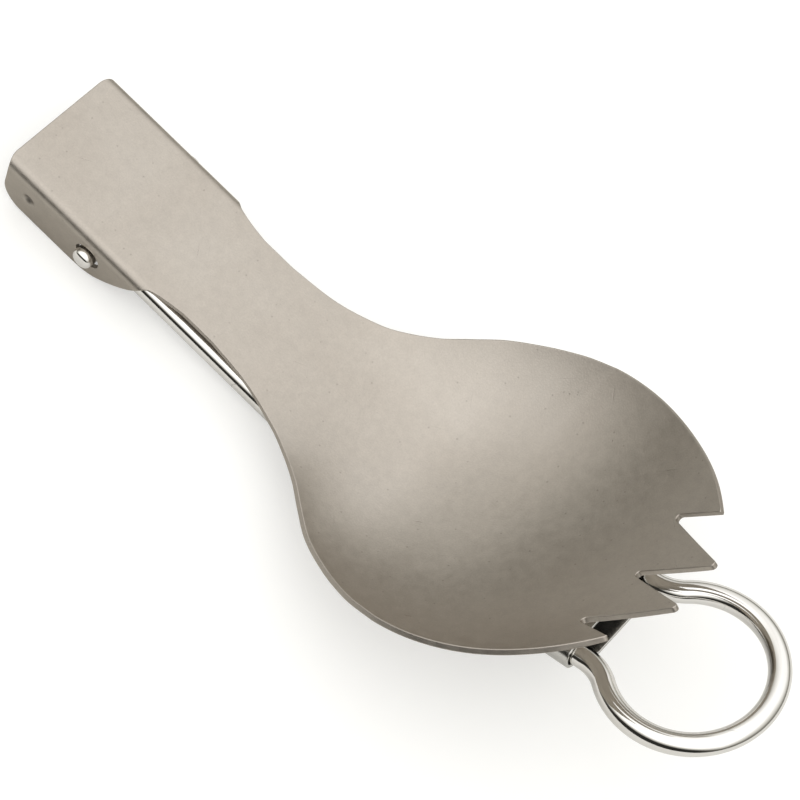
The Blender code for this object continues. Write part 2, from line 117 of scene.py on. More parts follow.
flat_half = SHANK_WIDTH / 2 - FOLD_RADIUS
fold_arc = FOLD_RADIUS * math.pi / 2
flange_reach = flat_half + fold_arc + FLANGE_HEIGHT - FOLD_RADIUS
bowl_widest = DISH_START + DISH_LENGTH * WIDEST_SHARE
head_length = DISH_START + DISH_LENGTH
print("blank, mm:", round(1000 * head_length, 2), "long,",
      round(2000 * flange_reach, 2), "over the flanges")

# %% [markdown]
# Four curves give the head its character: how the flanges run out into the neck, how the neck flares into
# the bowl, and how the bowl's floor and its rim rise to the tip. Each is a short table of shares, the share
# of the way along and the share of the way to the far value, so a value can be changed by hand and read
# again. A Bezier curve would do as well, but its handles can overshoot and leave a swelling in the metal.

# %% Tables of the four curves
RUNOUT_SHARES = (
    (0.0, 1.0), (0.13, 0.985), (0.25, 0.92), (0.36, 0.785), (0.48, 0.592), (0.57, 0.415),
    (0.65, 0.215), (0.705, 0.112), (0.765, 0.074), (0.84, 0.042), (1.0, 0.0),
)
FLARE_SHARES = (
    (0.0, 0.0), (0.15, 0.04), (0.34, 0.17), (0.43, 0.278), (0.515, 0.41), (0.60, 0.585),
    (0.68, 0.742), (0.76, 0.847), (0.84, 0.927), (0.92, 0.98), (1.0, 1.0),
)
FLOOR_SHARES = (
    (0.0, 0.0), (0.12, -0.016), (0.24, -0.037), (0.36, -0.040), (0.43, -0.012), (0.52, 0.0585),
    (0.63, 0.173), (0.73, 0.325), (0.82, 0.513), (0.88, 0.668), (1.0, 1.0),
)
RIM_SHARES = (
    (0.0, 0.0), (0.10, 0.014), (0.21, 0.068), (0.32, 0.143), (0.43, 0.245), (0.54, 0.366),
    (0.65, 0.488), (0.76, 0.62), (0.87, 0.782), (0.93, 0.868), (1.0, 1.0),
)
# Steps to either side and their weights, for a curve that is averaged over a short way
SMOOTHING = (
    (-1.0, 0.06), (-0.66, 0.12), (-0.33, 0.2), (0.0, 0.24), (0.33, 0.2), (0.66, 0.12), (1.0, 0.06),
)
SMOOTHING_REACH, SMOOTHING_END, SMOOTHING_FADE = 0.04, 0.90, 0.08
print("points in the tables:",
      [len(table) for table in (RUNOUT_SHARES, FLARE_SHARES, FLOOR_SHARES, RIM_SHARES)])


# %% Curves through the tables
def through(shares, places):
    """Smooth curve through the table that never overshoots it (monotone cubic), for an array of places."""
    x, y = np.array(shares).T
    step = np.diff(x)
    slope = np.diff(y) / step
    product = slope[:-1] * slope[1:]
    both = np.where(product > 0, slope[:-1] + slope[1:], 1.0)
    middle = np.where(product > 0, 2 * product / both, 0.0)
    tangent = np.concatenate((slope[:1], middle, slope[-1:]))
    places = np.clip(places, x[0], x[-1])
    i = np.clip(np.searchsorted(x, places, side="left") - 1, 0, len(step) - 1)
    t = (places - x[i]) / step[i]
    start = (1 + 2 * t) * (1 - t) ** 2 * y[i] + t * (1 - t) ** 2 * step[i] * tangent[i]
    return start + t * t * (3 - 2 * t) * y[i + 1] + t * t * (t - 1) * step[i] * tangent[i + 1]


def smoothed(shares, places):
    """The same curve averaged over a short way, so that shading finds no kink in it."""
    room = SMOOTHING_REACH * np.clip((SMOOTHING_END - places) / SMOOTHING_FADE, 0, 1)
    return sum(share * through(shares, places + step * room) for step, share in SMOOTHING)


def ease(t):
    t = np.clip(t, 0.0, 1.0)
    return t * t * (3 - 2 * t)


print("rim and floor at half the dish:", [round(float(smoothed(table, np.array([0.5]))[0]), 3)
                                          for table in (RIM_SHARES, FLOOR_SHARES)])


# %% The blank's width and the bowl's rise
def half_width(along):
    """Half the blank's width at each place, measured over the folds and flanges."""
    neck, widest = NECK_WIDTH / 2, BOWL_WIDTH / 2
    across = np.clip(END_SETBACK + CORNER_RADIUS - along, 0, CORNER_RADIUS)
    corner = flange_reach - CORNER_RADIUS + np.sqrt(CORNER_RADIUS ** 2 - across ** 2)
    runout = neck + (flange_reach - neck) * through(
        RUNOUT_SHARES, (along - FLANGE_STRAIGHT_END) / (NECK_START - FLANGE_STRAIGHT_END))
    flare = neck + (widest - neck) * through(FLARE_SHARES, (along - NECK_END) / (bowl_widest - NECK_END))
    tip = np.clip((along - bowl_widest) / (head_length - bowl_widest), 0.0, 1.0)
    bowl = widest * np.maximum(1 - tip * tip, 0.0) ** TIP_SHARPNESS
    return np.select((along < FLANGE_STRAIGHT_END, along < NECK_START, along < bowl_widest),
                     (corner, runout, flare), bowl)


def rise(along, across_share):
    """Height of the dish's top face over the neck, for a share of the way out from the middle line."""
    share = (along - DISH_START) / DISH_LENGTH
    floor, rim = smoothed(FLOOR_SHARES, share), smoothed(RIM_SHARES, share)
    return TIP_RISE * (floor + (rim - floor) * across_share ** DISH_POWER)


print("half widths at the shank, neck and bowl, mm:",
      np.round(1000 * half_width(np.array([HINGE_ALONG, NECK_END, bowl_widest])), 2))


# %% Forming the blank
def formed(along, reach):
    """Points of the finished sheet's top face, in the shank's own frame, for points of the flat blank."""
    out = np.abs(reach)
    turn = np.clip((out - flat_half) / FOLD_RADIUS, 0, math.pi / 2)
    down = np.maximum(out - flat_half - fold_arc, 0)
    across = np.minimum(out, flat_half) + FOLD_RADIUS * np.sin(turn)
    height = -FOLD_RADIUS * (1 - np.cos(turn)) - down
    from_dimple = np.hypot(along - DIMPLE_ALONG, height + DIMPLE_DEPTH)
    pit = ease(DIMPLE_STEEPNESS - DIMPLE_STEEPNESS * from_dimple / DIMPLE_RADIUS)
    across = across - DIMPLE_PRESS * pit * (turn > 1)
    dished = along >= NECK_START
    share = np.clip(out / np.maximum(half_width(along), 1e-6), 0, 1.2)
    across = np.where(dished, out, across)
    height = np.where(dished, rise(along, share), height)
    return np.stack((along, np.sign(reach) * across, height), axis=-1)


def forming_frame(along, reach, nudge=0.00002):
    """How the formed point moves as it goes along or out, and the top face's normal there."""
    by_along = (formed(along + nudge, reach) - formed(along - nudge, reach)) / (2 * nudge)
    by_reach = (formed(along, reach + nudge) - formed(along, reach - nudge)) / (2 * nudge)
    normal = np.cross(by_along, by_reach)
    return by_along, by_reach, normal / np.linalg.norm(normal, axis=-1, keepdims=True)


print("bowl's rim at its widest, formed, mm:",
      np.round(1000 * formed(np.array([bowl_widest]), np.array([BOWL_WIDTH / 2]))[0], 2))

# %% [markdown]
# The four tines are cut after pressing, by a punch that comes down square to the bowl's tip. Their outline
# is drawn as the punch sees it, in a plane on the tip's slope, and each of its points is then looked up on
# the blank. Cutting a finished mesh with a boolean would leave ragged triangles along the notches. Every
# corner of a punch is slightly round, or it would crack.

# %% The tines' outline
NOTCH_RADIUS = 0.00045
TINE_CORNERS = (
    (0.0132, 0.0207, 0.0), (0.0054, 0.0118, 0.0), (0.0054, 0.0098, NOTCH_RADIUS),
    (-0.0005, 0.0082, NOTCH_RADIUS), (0.0092, 0.00322, NOTCH_RADIUS), (0.0, 0.0, NOTCH_RADIUS),
)


def rounded(corners, steps=9):
    """The outline with arcs for corners; the arc's middle passes through the named corner."""
    count = len(corners)
    points = [Vector(corner[:2]) for corner in corners]
    sides = [((points[i - 1] - points[i]).normalized(),
              (points[(i + 1) % count] - points[i]).normalized()) for i in range(count)]
    sharp = []
    for point, (into, out), corner in zip(points, sides, corners):
        beyond = 1 / math.sin(into.angle(out) / 2) - 1
        sharp.append(point - (into + out).normalized() * corner[2] * beyond)
    outline = []
    for i in range(count):
        into = (sharp[i - 1] - sharp[i]).normalized()
        out = (sharp[(i + 1) % count] - sharp[i]).normalized()
        half, radius = into.angle(out) / 2, corners[i][2]
        centre = sharp[i] + (into + out).normalized() * radius / math.sin(half)
        start = sharp[i] + into * radius / math.tan(half) - centre
        end = sharp[i] + out * radius / math.tan(half) - centre
        for step in range(steps + 1 if radius else 1):
            turned = start.copy()
            if radius:
                turned.rotate(Matrix.Rotation(-start.angle_signed(end) * step / steps, 2))
            outline.append(centre + turned)
    return np.array(outline)


def spaced(points, spacing):
    """The same line, with points an even step apart."""
    lengths = np.concatenate(([0], np.cumsum(np.linalg.norm(np.diff(points, axis=0), axis=1))))
    places = np.linspace(0, lengths[-1], max(2, int(round(lengths[-1] / spacing)) + 1))
    return np.stack([np.interp(places, lengths, points[:, k]) for k in range(points.shape[1])], axis=1)


tine_line = rounded(list(TINE_CORNERS) + [(x, -y, r) for x, y, r in TINE_CORNERS[-2::-1]])
print("points on the punch's outline:", len(tine_line))

# %% The tines looked up on the blank
NOTCH_SPACING = 0.00012
BELOW_NOTCHES = 0.070
HALVINGS = 40


def on_slope(along, across):
    """Distance up the tip's slope from the middle notch, as the punch sees it."""
    start = DISH_START + DISH_LENGTH * MIDDLE_NOTCH_SHARE
    base = rise(np.array([start]), 0.0)[0]
    angle = math.atan2(TIP_RISE - base, head_length - start)
    height = rise(along, np.abs(across) / np.maximum(half_width(along), 1e-6))
    return (along - start) * math.cos(angle) + (height - base) * math.sin(angle)


def rim_place(across):
    """How far along the rim is, this far out from the middle line, beyond the widest place."""
    share = (np.abs(across) / (BOWL_WIDTH / 2)) ** (1 / TIP_SHARPNESS)
    return bowl_widest + (head_length - bowl_widest) * np.sqrt(np.maximum(1 - share, 0))


def notches_on_blank(line):
    """The punch's outline looked up on the blank, from the outer tine's tip to the middle notch."""
    middle = int(np.argmin(np.hypot(line[:, 0], line[:, 1])))
    line = spaced(line[:middle + 1], NOTCH_SPACING)
    low, high = np.full(len(line), BELOW_NOTCHES), rim_place(line[:, 1])
    inside = on_slope(high, line[:, 1]) > line[:, 0]
    for _ in range(HALVINGS):
        place = (low + high) / 2
        beyond = on_slope(place, line[:, 1]) > line[:, 0]
        low, high = np.where(beyond, low, place), np.where(beyond, place, high)
    first = len(inside) - int(np.argmin(inside[::-1]))
    return np.stack((low, line[:, 1]), axis=1)[first:]


notch = notches_on_blank(tine_line)
print("points over two tines:", len(notch))

# %% The blank's whole outline
END_SPACING, RIM_SPACING = 0.00035, 0.00025


def half_outline():
    """From the middle of the shank's end, round the flange, along the rim and over two tines."""
    out = np.linspace(0, flange_reach - CORNER_RADIUS, 200)
    inner = SQUARE_END_WIDTH / 2
    end = np.stack((END_SETBACK * ease((out - inner) / (flat_half + fold_arc - inner)), out), axis=1)
    corner = END_SETBACK + CORNER_RADIUS * (1 - np.cos(np.linspace(0, math.pi / 2, 100)))
    along = np.concatenate((corner, np.linspace(corner[-1], bowl_widest, 3000)[1:]))
    tip_share = 1 - (notch[0, 1] / (BOWL_WIDTH / 2)) ** (1 / TIP_SHARPNESS)
    last = bowl_widest + (head_length - bowl_widest) * math.sqrt(tip_share)
    along = np.concatenate((along, bowl_widest + (last - bowl_widest) * np.linspace(0, 1, 1500)[1:-1]))
    side = np.stack((along, half_width(along)), axis=1)
    return np.concatenate((spaced(end, END_SPACING), spaced(side, RIM_SPACING)[1:-1], notch[1:]))


half = half_outline()
blank = np.concatenate((half, half[-2:0:-1] * (1, -1)))
print("points round the blank:", len(blank))

# %% [markdown]
# The sheet's mesh has three parts: the top face, the same face again one sheet's thickness lower, and the
# cut edge between them. A Solidify and a Bevel modifier could make the last two, but the bevel pinches in
# the narrow notches. Here the edge is rounded by a tenth of a millimetre on both sides, as tumbling leaves
# it, because that small round is what catches the light all along the rim.

# %% Rings round an edge
EDGE_ROUND = 0.00012
EDGE_STEPS = 4


def edge_rings(loop):
    """For a loop of the blank: where its top face ends, and the rings of points over the rounded edge."""
    along, reach = loop.T
    by_along, by_reach, normal = forming_frame(along, reach)
    top = formed(along, reach)
    run = np.roll(top, -1, axis=0) - np.roll(top, 1, axis=0)
    inward = np.cross(run, normal)
    inward /= np.linalg.norm(inward, axis=1, keepdims=True)
    aa, ar, rr = ((by_along ** 2).sum(1), (by_along * by_reach).sum(1), (by_reach ** 2).sum(1))
    a, r = (by_along * inward).sum(1), (by_reach * inward).sum(1)
    scale = EDGE_ROUND / (aa * rr - ar * ar)
    inner = loop + np.stack(((rr * a - ar * r) * scale, (aa * r - ar * a) * scale), axis=1)
    points, normals = [], []
    for step in range(1, 2 * EDGE_STEPS + 1):
        turn = math.pi / 2 * min(step, 2 * EDGE_STEPS + 1 - step) / EDGE_STEPS
        lower = step > EDGE_STEPS
        depth = EDGE_ROUND * (1 - math.cos(turn))
        facing = normal * math.cos(turn) * (-1 if lower else 1) - inward * math.sin(turn)
        points.append(top + inward * EDGE_ROUND * (1 - math.sin(turn))
                      - normal * (SHEET - depth if lower else depth))
        normals.append(facing)
    return inner, points, normals


HOLE_POINTS = 64


def round_hole(side):
    """A hinge hole as a loop of the blank; the side is 1 or -1."""
    reach = flat_half + fold_arc - FOLD_RADIUS + HINGE_DEPTH - HOLE_SAG
    turn = np.linspace(0, 2 * math.pi, HOLE_POINTS, endpoint=False)
    return np.stack((HINGE_ALONG + HOLE_SAG + HOLE_RADIUS * np.cos(turn),
                     side * reach + HOLE_RADIUS * np.sin(turn)), axis=1)


rings = [edge_rings(loop) for loop in (blank, round_hole(1), round_hole(-1))]
inner_loops = [ring[0] for ring in rings]
print("edges:", len(rings), "with rings of points:", len(rings[0][1]))

# %% [markdown]
# Between its edges the blank is filled with staggered points, closer together round the folds and dimples
# and up the steep tip, where the form turns fastest. A Delaunay triangulation joins them: it keeps the
# outline's own edges, and its triangles are as even as they can be. A plain grid of squares would leave
# slivers along the curved rim, and those show in the shading.

# %% Points inside an outline
def is_inside(points, outline):
    """Which of the points lie inside the closed outline, by counting the sides that each ray crosses."""
    crossed = np.zeros(len(points), int)
    for (x0, y0), (x1, y1) in zip(outline, np.roll(outline, -1, axis=0)):
        if y0 != y1:
            spans = (points[:, 1] > min(y0, y1)) & (points[:, 1] <= max(y0, y1))
            crossed += spans & (points[:, 0] < x0 + (points[:, 1] - y0) * (x1 - x0) / (y1 - y0))
    return crossed % 2 == 1


def clear_of(points, loop, room):
    """The points that keep this much room from every point of a loop."""
    kept = np.ones(len(points), bool)
    for start in range(0, len(loop), 100):
        part = loop[start:start + 100]
        apart = np.linalg.norm(points[:, None] - part[None], axis=2).min(axis=1)
        kept &= apart > room
    return points[kept]


RING_STEP, RING_COUNT, RING_POINTS_APART, DIMPLE_ROOM = 0.00009, 13, 0.000014, 0.00135


def dimple_points(side):
    """Close rings of points where a dimple is pressed, and the dimple's middle; the side is 1 or -1."""
    middle = np.array((DIMPLE_ALONG, side * (flat_half + fold_arc - FOLD_RADIUS + DIMPLE_DEPTH)))
    circles = [middle[None]]
    for radius in np.arange(1, RING_COUNT + 1) * RING_STEP:
        turn = np.linspace(0, 2 * math.pi, max(6, int(radius / RING_POINTS_APART)), endpoint=False)
        circles.append(middle + radius * np.stack((np.cos(turn), np.sin(turn)), axis=1))
    return np.concatenate(circles), middle


print("points in one dimple:", len(dimple_points(1)[0]))

# %% The grid on the blank
FIRST_ROW, ROW_STEP, COLUMN_STEP, LAST_COLUMN = 0.0003, 0.00042, 0.00045, 0.0215
EDGE_ROOM, FOLD_ROOM, SLOPE_STEP, FOLD_COLUMNS = 0.00022, 0.0002, 0.0005, 10


def blank_grid(outline, holes):
    """Staggered points inside the blank: closer together round the folds and up the steep tip."""
    places, place = [], FIRST_ROW
    while place < head_length:
        places.append(place)
        steep = (rise(np.array([place + SLOPE_STEP]), 0.5) - rise(np.array([place]), 0.5))[0] / SLOPE_STEP
        place += ROW_STEP / math.sqrt(1 + steep * steep)
    flat = np.arange(0, LAST_COLUMN, COLUMN_STEP)
    fold = flat_half + fold_arc * np.arange(1, FOLD_COLUMNS) / FOLD_COLUMNS
    folded = np.concatenate((flat[flat < flat_half - FOLD_ROOM], [flat_half], fold,
                             np.arange(flat_half + fold_arc, flange_reach, COLUMN_STEP)))
    points = []
    for row, place in enumerate(places):
        reach = folded if place < NECK_START else flat
        shift = 0.5 * COLUMN_STEP * (row % 2) if place >= NECK_START else 0.0
        line = np.concatenate((-reach[:0:-1], reach)) + shift
        points.append(np.stack((np.full(len(line), place), line), axis=1))
    points = np.concatenate(points)
    points = clear_of(points[is_inside(points, outline)], outline, EDGE_ROOM)
    for hole in holes:
        points = clear_of(points[~is_inside(points, hole)], hole, EDGE_ROOM)
    for side in (1, -1):
        dimple, middle = dimple_points(side)
        points = np.concatenate((points[np.linalg.norm(points - middle, axis=1) > DIMPLE_ROOM], dimple))
    return points


grid = blank_grid(inner_loops[0], inner_loops[1:])
print("points inside the blank:", len(grid))


# %% The head's mesh
def triangles_on_blank():
    """The blank's points joined into triangles that all turn the same way, with the holes left open."""
    edges, first = [], 0
    for loop in inner_loops:
        count = len(loop)
        edges += [(first + i, first + (i + 1) % count) for i in range(count)]
        first += count
    points = np.concatenate(inner_loops + [grid])
    drawn = delaunay_2d_cdt([Vector(point * 1000) for point in points], edges, [], 0, 1e-7)
    if len(drawn[0]) != len(points):
        print("points merged or added while joining the blank:", len(drawn[0]) - len(points))
    points = np.array([tuple(point) for point in drawn[0]]) / 1000
    faces = np.array([tuple(face) for face in drawn[2]])
    centres = points[faces].mean(axis=1)
    keep = is_inside(centres, inner_loops[0])
    for hole in inner_loops[1:]:
        keep &= ~is_inside(centres, hole)
    faces = faces[keep]
    a, b, c = (points[faces[:, k]] for k in range(3))
    turned = np.cross(b - a, c - a) < 0
    faces[turned] = faces[turned][:, ::-1]
    return points, faces


def sheet_mesh():
    """Top face, underside and the rounded edges between them: points, polygons and normals."""
    flat_points, faces = triangles_on_blank()
    top = formed(*flat_points.T)
    normal = forming_frame(*flat_points.T)[2]
    count = len(top)
    points, normals = [top, top - normal * SHEET], [normal, -normal]
    polygons = faces.tolist() + (faces[:, ::-1] + count).tolist()
    first, last = 0, 2 * count
    for loop, (_, ring_points, ring_normals) in zip(inner_loops, rings):
        size = len(loop)
        rows = [np.arange(first, first + size)]
        for _ in ring_points:
            rows.append(np.arange(last, last + size))
            last += size
        rows.append(np.arange(first, first + size) + count)
        points += ring_points
        normals += ring_normals
        for upper, lower in zip(rows, rows[1:]):
            polygons += np.stack((upper, np.roll(upper, -1), np.roll(lower, -1), lower), axis=1).tolist()
        first += size
    return np.concatenate(points), polygons, np.concatenate(normals)


sheet = sheet_mesh()
print("sheet's points and polygons:", len(sheet[0]), len(sheet[1]))

# %% [markdown]
# So far the shank lies level. On the table the folded spork leans by three degrees, as it stands on the
# edges of its flanges and on the wire's bend. The lean could stay in each object's own transform. It goes
# into the meshes instead, so that the space in which the finishes are drawn is the part's shared frame.

# %% From the shank's frame to the table
REST_TILT = math.radians(2.956469)
hinge_place = Vector(next(joint["pos_m"] for joint in frame["joints"] if joint["name"] == "handle_hinge"))
tilted = Matrix.Rotation(REST_TILT, 4, "Y")
shank_frame = Matrix.Translation(hinge_place) @ tilted @ Matrix.Translation((-HINGE_ALONG, 0, HINGE_DEPTH))
print("shank's end at, mm:", [round(1000 * value, 3) for value in shank_frame.translation])


# %% A piece from arrays
def new_piece(name, points, polygons, normals, place):
    """A smooth mesh object from arrays, set down where the table is."""
    mesh = bpy.data.meshes.new(name)
    mesh.from_pydata([tuple(place @ Vector(point)) for point in points], [], polygons)
    mesh.validate()
    mesh.shade_smooth()
    turned = place.to_3x3()
    mesh.normals_split_custom_set_from_vertices([tuple(turned @ Vector(normal)) for normal in normals])
    piece = bpy.data.objects.new(name, mesh)
    bpy.context.scene.collection.objects.link(piece)
    return piece


def measured(piece):
    """Volume in mm3, above 0 if the faces look outward, and whether the mesh is closed."""
    bm = bmesh.new()
    bm.from_mesh(piece.data)
    volume = bm.calc_volume(signed=True)
    closed = all(len(edge.link_faces) == 2 for edge in bm.edges)
    bm.free()
    return round(volume * 1e9, 1), closed


sheet_piece = new_piece("pressed_head", *sheet, shank_frame)
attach(sheet_piece, "head")
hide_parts("head")
print("head: volume in mm3 and closed:", measured(sheet_piece), "faces:", len(sheet_piece.data.polygons))

# %% [markdown]
# The handle is one length of round wire. Its two ends turn outwards through the flanges and are the hinge
# pins, the legs run back under the bowl, bend up, and close in a ring. A curve with a round bevel is the
# quick way to draw a wire. Here the wire's middle line is worked out point by point and a circle is carried
# along it, because that also gives the exact direction that each point of the polished skin faces, and
# long even highlights need that. The circle shrinks at both ends, where the cut has been rounded over.

# %% Sizes of the wire
WIRE_RADIUS = 0.0013
LEG_OFFSET, LEG_SPLAY, LEG_LENGTH = 0.0060, 0.0002, 0.04480168
BEND_RADIUS, BEND_ANGLE, OUTER_LEG = 0.0060, math.radians(24.425), 0.0357
RING_RADIUS, RING_NECK_RADIUS = 0.0095, 0.0055
PIN_STANDOUT, PIN_TURN_RADIUS, PIN_ROUND, PIN_POINTS = 0.0011, 0.0016, 0.0007, 9

bend_arc = BEND_RADIUS * BEND_ANGLE
ring_place = LEG_LENGTH + bend_arc + OUTER_LEG
leg_end = LEG_OFFSET + LEG_SPLAY
neck_offset = leg_end + RING_NECK_RADIUS
neck_back = math.sqrt((RING_RADIUS + RING_NECK_RADIUS) ** 2 - neck_offset ** 2)
print("ring's middle lies", round(1000 * ring_place, 2), "mm along the wire from the hinge")


# %% The wire's line
def bent(place):
    """From a distance along the legs to x and z, with the hinge at 0, 0."""
    turn = min(max((place - LEG_LENGTH) / BEND_RADIUS, 0.0), BEND_ANGLE)
    beyond = max(place - LEG_LENGTH - bend_arc, 0.0)
    x = min(place, LEG_LENGTH) + BEND_RADIUS * math.sin(turn) + beyond * math.cos(BEND_ANGLE)
    return x, BEND_RADIUS * (1 - math.cos(turn)) + beyond * math.sin(BEND_ANGLE)


def arc(centre_x, centre_y, radius, start, end, steps):
    turn = np.linspace(start, end, steps + 1)
    return np.stack((centre_x + radius * np.cos(turn), centre_y + radius * np.sin(turn)), axis=1)


def wire_side():
    """One side of the wire before its bend: distance along, distance across, and share of its thickness."""
    turn = np.linspace(0.0, 1.0, PIN_POINTS) * math.pi / 2
    pin_end = SHANK_WIDTH / 2 + PIN_STANDOUT
    pin = np.column_stack((np.zeros(PIN_POINTS), pin_end - PIN_ROUND * (1 - np.cos(turn)),
                           1 - PIN_ROUND / WIRE_RADIUS * (1 - np.sin(turn))))
    neck_place = ring_place - neck_back
    elbow = arc(PIN_TURN_RADIUS, LEG_OFFSET + PIN_TURN_RADIUS, PIN_TURN_RADIUS, math.pi, 1.5 * math.pi, 16)
    places = np.concatenate((np.linspace(PIN_TURN_RADIUS, LEG_LENGTH, 30)[1:],
                             LEG_LENGTH + bend_arc * np.linspace(0, 1, 13)[1:],
                             np.linspace(LEG_LENGTH + bend_arc, neck_place, 16)[1:]))
    legs = np.stack((places, LEG_OFFSET + LEG_SPLAY * places / neck_place), axis=1)
    meet = math.atan2(-neck_offset, neck_back)
    neck = arc(neck_place, neck_offset, RING_NECK_RADIUS, -math.pi / 2, meet, 14)[1:]
    ring = arc(ring_place, 0.0, RING_RADIUS, math.pi + meet, 0.0, 60)[1:]
    line = np.concatenate((elbow, legs, neck, ring))
    return np.concatenate((pin, np.column_stack((line, np.ones(len(line))))))


half_line = wire_side()
plan = np.concatenate((half_line, (half_line * (1, -1, 1))[-2::-1]))
wire_line = np.array([(bent(place)[0], across, bent(place)[1]) for place, across, _ in plan])
lengths = np.concatenate(([0], np.cumsum(np.linalg.norm(np.diff(wire_line, axis=0), axis=1))))
print("length of the wire, mm:", round(1000 * lengths[-1], 1))


# %% The wire's skin
def unit(vectors):
    return vectors / np.linalg.norm(vectors, axis=-1, keepdims=True)


def wire_mesh(sides=40):
    """A circle carried along the wire's line without twisting, with flat caps on the two cut ends."""
    radius = WIRE_RADIUS * plan[:, 2]
    run = unit(np.gradient(wire_line, axis=0))
    run[:PIN_POINTS], run[-PIN_POINTS:] = (0, -1, 0), (0, -1, 0)
    widening = np.gradient(radius, lengths)
    side = np.array((0.0, 0.0, 1.0))
    turn = np.linspace(0, 2 * math.pi, sides, endpoint=False)
    points, normals = [], []
    for place, along, size, steeper in zip(wire_line, run, radius, widening):
        side = unit(side - along * side.dot(along))
        other = np.cross(along, side)
        spoke = np.outer(np.cos(turn), side) + np.outer(np.sin(turn), other)
        points.append(place + spoke * size)
        normals.append(unit(spoke - along * steeper))
    faces = []
    for row in range(len(wire_line) - 1):
        for i in range(sides):
            beside = (i + 1) % sides
            faces.append((row * sides + i, row * sides + beside, (row + 1) * sides + beside,
                          (row + 1) * sides + i))
    last = (len(wire_line) - 1) * sides
    faces.append(tuple(range(sides))[::-1])
    faces.append(tuple(range(last, last + sides)))
    return np.concatenate(points), faces, np.concatenate(normals)


hinge_frame = Matrix.Translation(hinge_place) @ tilted
wire = new_piece("bent_wire", *wire_mesh(), hinge_frame)
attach(wire, "handle")
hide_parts("wire_handle")
print("wire: volume in mm3 and closed:", measured(wire))

# %% [markdown]
# The sleeve is a strip of thinner sheet bent round both legs, with a short lip for a fingertip. It slides
# along them, so its hollow has to clear the wire all round. Its wall is a small rounded rectangle carried
# once round the legs, so one grid of faces makes all of it, inside, outside and both ends. A box with a
# slot cut out of it would need its corners rounded one by one.

# %% Sizes of the sleeve
SLEEVE_SHEET, SLEEVE_CLEARANCE, SLEEVE_LENGTH = 0.0004, 0.0002, 0.0085
SLEEVE_LIP, SLEEVE_LIP_WIDTH, SLEEVE_TO_RING = 0.0012, 0.0090, 0.0105
SLEEVE_EDGE = 0.00011
LIP_CORNER = 0.0007


def sleeve_path():
    """Round both legs at the inside of the wall: across, up, and the way out of the wall."""
    hollow = WIRE_RADIUS + SLEEVE_CLEARANCE
    right = arc(leg_end, 0.0, hollow, -math.pi / 2, math.pi / 2, 28)
    left = arc(-leg_end, 0.0, hollow, math.pi / 2, 1.5 * math.pi, 28)
    across = np.linspace(-leg_end, leg_end, 60)[1:-1]
    top = np.stack((across[::-1], np.full(len(across), hollow)), axis=1)
    bottom = top[::-1] * (1, -1)
    path = np.concatenate((right, top, left, bottom))
    middle = np.stack((np.clip(path[:, 0], -leg_end, leg_end), np.zeros(len(path))), axis=1)
    away = path - middle
    away[:, 0] = np.where(np.abs(path[:, 0]) < leg_end, 0, away[:, 0])
    return path, away / np.linalg.norm(away, axis=1, keepdims=True)


path, away = sleeve_path()
print("points round the sleeve:", len(path))


# %% The sleeve
def sleeve_mesh():
    """The wall's rounded outline, placed at each point of the path."""
    corner = np.linspace(0, math.pi / 2, 5)
    wall = []
    for along_sign, out_sign, flip in ((1, -1, True), (1, 1, False), (-1, 1, True), (-1, -1, False)):
        for angle in corner[::-1] if flip else corner:
            wall.append((along_sign, -SLEEVE_EDGE * (1 - math.cos(angle)), along_sign * math.cos(angle),
                         out_sign, -SLEEVE_EDGE * (1 - math.sin(angle)), out_sign * math.sin(angle)))
    inset = np.clip((np.abs(path[:, 0]) - (SLEEVE_LIP_WIDTH / 2 - LIP_CORNER)) / LIP_CORNER, 0, 1)
    lip = SLEEVE_LIP * np.sqrt(1 - inset ** 2) * (path[:, 1] < -WIRE_RADIUS)
    points, normals = [], []
    for along_sign, along_cut, face_x, out_sign, out_cut, face_out in wall:
        x = along_sign * (SLEEVE_LENGTH / 2 + along_cut) + (lip if along_sign > 0 else 0)
        lift = SLEEVE_SHEET / 2 + out_sign * (SLEEVE_SHEET / 2 + out_cut)
        points.append(np.column_stack((np.zeros(len(path)) + x, path + away * lift)))
        normals.append(np.column_stack((np.full(len(path), face_x), away * face_out)))
    rows, count = len(points), len(path)
    faces = []
    for row in range(rows):
        for i in range(count):
            after, beside = (row + 1) % rows, (i + 1) % count
            faces.append((row * count + i, after * count + i, after * count + beside, row * count + beside))
    return np.concatenate(points), faces, np.concatenate(normals)


sleeve_x, sleeve_z = bent(ring_place - SLEEVE_TO_RING - SLEEVE_LENGTH / 2)
sleeve_frame = hinge_frame @ Matrix.Translation((sleeve_x, 0, sleeve_z))
sleeve_frame = sleeve_frame @ Matrix.Rotation(-BEND_ANGLE, 4, "Y")
sleeve = new_piece("sliding_sleeve", *sleeve_mesh(), sleeve_frame)
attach(sleeve, "sleeve")
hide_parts("slider")
print("sleeve at, mm:", [round(1000 * value, 3) for value in sleeve_frame.translation])
print("sleeve: volume in mm3 and closed:", measured(sleeve))

# %% [markdown]
# Every surface of this spork is bare metal, so what tells them apart is how they were worked. The finishes
# share two effects, each built once as a node group: a fine grain with a few specks and scratches, and
# rubbed edges, where handling has polished the metal. A painted picture of the metal would be quicker but
# would smear close up, while noise in the object's own space stays sharp at any distance.


# %% Helpers for the finishes
def group_with(name, inputs, outputs):
    """An empty node group with the named float inputs (with their defaults) and outputs."""
    made = bpy.data.node_groups.new(name, "ShaderNodeTree")
    for label, default in inputs:
        socket = made.interface.new_socket(name=label, in_out="INPUT", socket_type="NodeSocketFloat")
        socket.default_value = default
    for label in outputs:
        made.interface.new_socket(name=label, in_out="OUTPUT", socket_type="NodeSocketFloat")
    return made, made.nodes.new("NodeGroupInput"), made.nodes.new("NodeGroupOutput")


